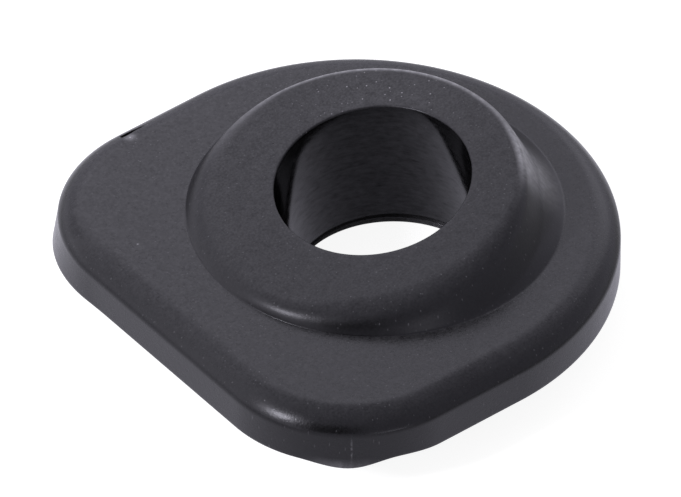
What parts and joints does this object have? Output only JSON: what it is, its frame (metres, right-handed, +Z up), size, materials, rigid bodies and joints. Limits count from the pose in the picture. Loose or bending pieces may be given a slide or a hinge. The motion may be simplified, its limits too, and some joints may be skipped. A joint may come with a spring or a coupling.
{
  "type": "rubber grommet",
  "caption": "Moulded rubber wedge grommet: flange round at the back and squared at the front, leaning collar with a through bore, short spigot below.",
  "frame": {"origin": "middle of the flange's length and width, on the level of the spigot's lower face", "axes": "+Z up through the collar, +X to the flange's squared end, +Y across the flange"},
  "size_m": [0.041, 0.0426, 0.0138],
  "materials": {
    "rubber": "satin moulded rubber with a faint pale bloom"
  },
  "bodies": {
    "root": {"grommet": "rubber"}
  },
  "joints": []
}
